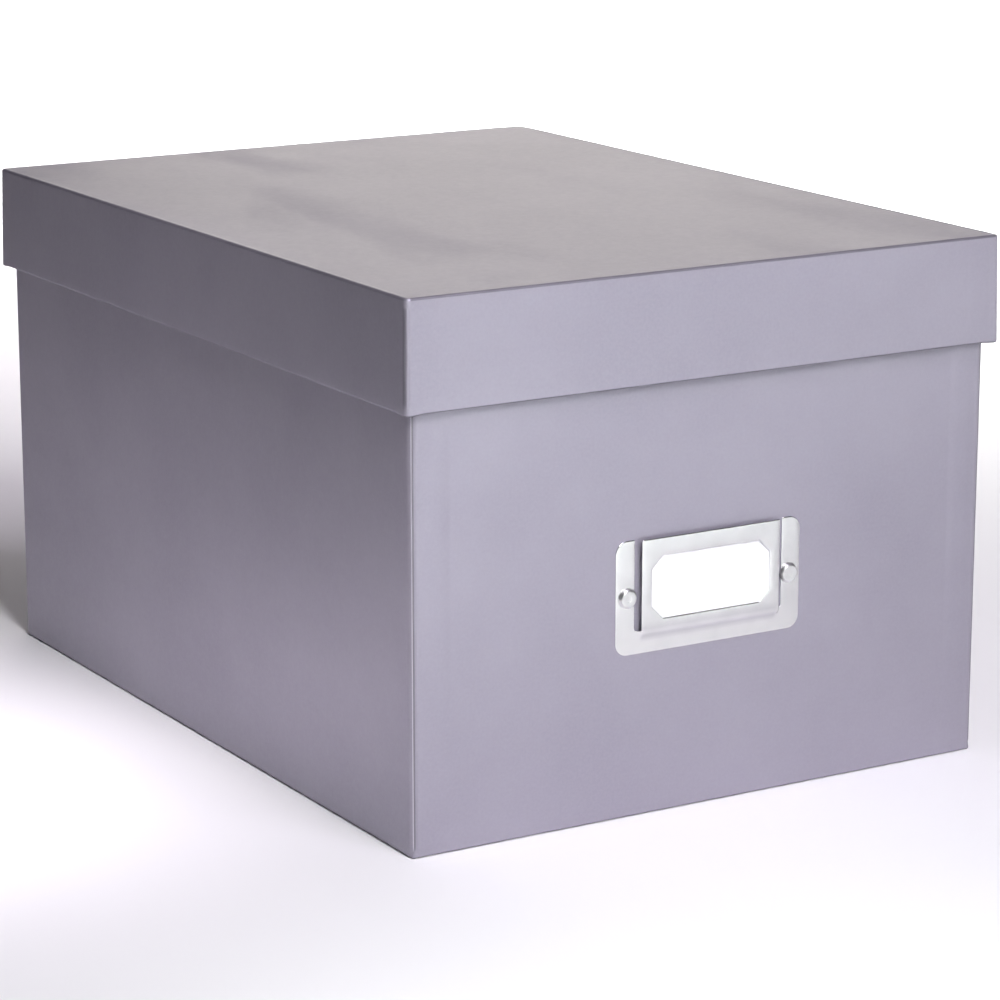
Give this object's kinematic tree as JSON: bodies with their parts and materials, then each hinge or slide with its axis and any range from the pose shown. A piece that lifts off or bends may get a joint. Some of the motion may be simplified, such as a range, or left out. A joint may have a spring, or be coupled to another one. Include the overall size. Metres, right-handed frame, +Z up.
{
  "type": "archival box",
  "caption": "Rigid rectangular paper-covered document box with a lift-off flared lid and a riveted metal label card holder on its front.",
  "frame": {"origin": "middle of the underside, on the surface the box stands on", "axes": "+Z up, -Y out of the face with the card holder, the long sides run along Y"},
  "size_m": [0.2424, 0.3274, 0.191],
  "materials": {
    "greyboard": "matt",
    "stay_tape": "matt",
    "covering_paper": "satin, pearly pewter",
    "underside_paper": "satin",
    "lining_paper": "matt",
    "holder_plating": "bright nickel plate",
    "washer_steel": "zinc plated",
    "rivet_plating": "nickel plate",
    "card_stock": "smooth, uncoated"
  },
  "bodies": {
    "tray": {"tray_bottom_board": "greyboard", "tray_left_board": "greyboard", "tray_right_board": "greyboard", "tray_front_board": "greyboard", "tray_back_board": "greyboard", "tray_corner_stay_front_left": "stay_tape", "tray_corner_stay_front_right": "stay_tape", "tray_corner_stay_back_left": "stay_tape", "tray_corner_stay_back_right": "stay_tape", "tray_wrap": "covering_paper", "tray_underside_sheet": "underside_paper", "tray_floor_lining": "lining_paper", "tray_wall_lining": "lining_paper", "label_holder": "holder_plating", "rivet_left": "rivet_plating", "rivet_right": "rivet_plating", "rivet_washer_left": "washer_steel", "rivet_washer_right": "washer_steel"},
    "lid": {"lid_top_board": "greyboard", "lid_left_board": "greyboard", "lid_right_board": "greyboard", "lid_front_board": "greyboard", "lid_back_board": "greyboard", "lid_corner_stay_front_left": "stay_tape", "lid_corner_stay_front_right": "stay_tape", "lid_corner_stay_back_left": "stay_tape", "lid_corner_stay_back_right": "stay_tape", "lid_wrap": "covering_paper", "lid_lining": "lining_paper"},
    "label_card": {"label_card": "card_stock"}
  },
  "joints": [
    {"name": "lid_lift", "type": "slide", "parent": "tray", "child": "lid", "axis": [0, 0, 1], "range_m": [0, 0.2]},
    {"name": "label_card_slide", "type": "slide", "parent": "tray", "child": "label_card", "axis": [0, 0, 1], "range_m": [0, 0.036]}
  ]
}
